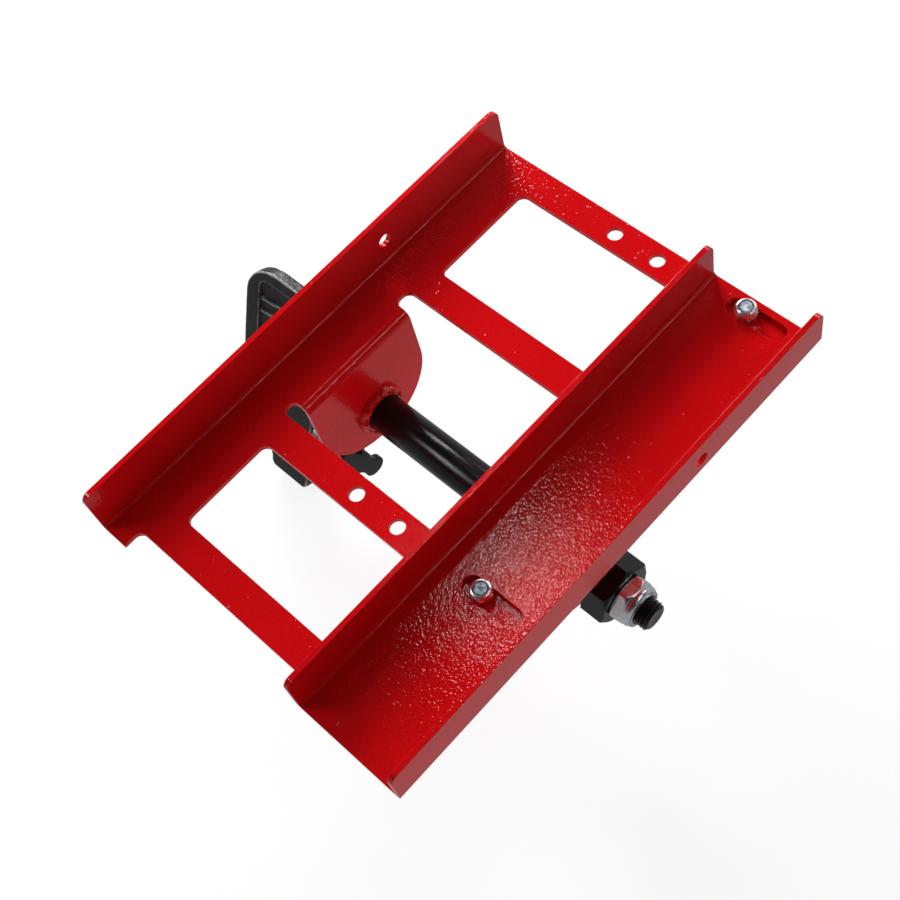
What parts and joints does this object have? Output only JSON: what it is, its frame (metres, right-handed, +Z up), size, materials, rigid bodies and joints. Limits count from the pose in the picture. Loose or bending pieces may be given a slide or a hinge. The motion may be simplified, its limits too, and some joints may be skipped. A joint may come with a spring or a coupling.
{
  "type": "chainsaw vertical cutting guide",
  "caption": "Bent steel frame that slides along a guide timber, with a sliding channel that sets the timber width and a pivoting clamp for a saw bar.",
  "frame": {"origin": "on the seat face that lies on the timber, in the middle of the seat strip beside the fixed fence, at mid-length", "axes": "+Y along the rail, +X across it from the fixed fence to the channel, +Z up from the seat along the fences"},
  "size_m": [0.2971, 0.3, 0.1698],
  "materials": {
    "red_powder_coat": "glossy powder coat with a light orange peel",
    "black_steel": "satin black",
    "black_casting": "semi-gloss black coat over a cast surface",
    "zinc_plate": "bright zinc plate",
    "nylon": "translucent nylon",
    "pad_steel": "plain steel"
  },
  "bodies": {
    "frame": {"guide_frame": "red_powder_coat", "left_pivot_bushing": "red_powder_coat", "right_pivot_bushing": "red_powder_coat", "left_weld_bead": "red_powder_coat", "right_weld_bead": "red_powder_coat", "near_channel_bolt": "zinc_plate", "far_channel_bolt": "zinc_plate", "near_lock_nut": "zinc_plate", "far_lock_nut": "zinc_plate", "near_nut_insert": "nylon", "far_nut_insert": "nylon"},
    "channel": {"guide_channel": "red_powder_coat"},
    "clamp": {"pivot_shaft": "black_steel", "shaft_hex_collar": "black_steel", "shaft_lock_nut": "zinc_plate", "shaft_nut_insert": "nylon", "thrust_washer": "black_steel", "bar_clamp": "black_casting", "clamp_cross_pin": "pad_steel"},
    "pad": {"pressure_pad": "pad_steel"},
    "wing_screw": {"clamp_screw": "black_steel"}
  },
  "joints": [
    {"name": "channel_width_slide", "type": "slide", "parent": "frame", "child": "channel", "axis": [1, 0, 0], "range_m": [-0.0205, 0.008]},
    {"name": "clamp_pivot", "type": "hinge", "parent": "frame", "child": "clamp", "pos_m": [0, 0.0012, -0.05], "axis": [1, 0, 0], "range_deg": [-94, 140]},
    {"name": "pad_slide", "type": "slide", "parent": "clamp", "child": "pad", "axis": [1, 0, 0], "range_m": [0, 0.00502]},
    {"name": "wing_screw_turn", "type": "hinge", "parent": "pad", "child": "wing_screw", "pos_m": [0.008, -0.01882, -0.09582], "axis": [1, 0, 0], "range_deg": [0, 1440]}
  ],
  "couplings": [
    {"joint": "pad_slide", "follows": "wing_screw_turn", "m_per_rad": 0.00019894}
  ]
}
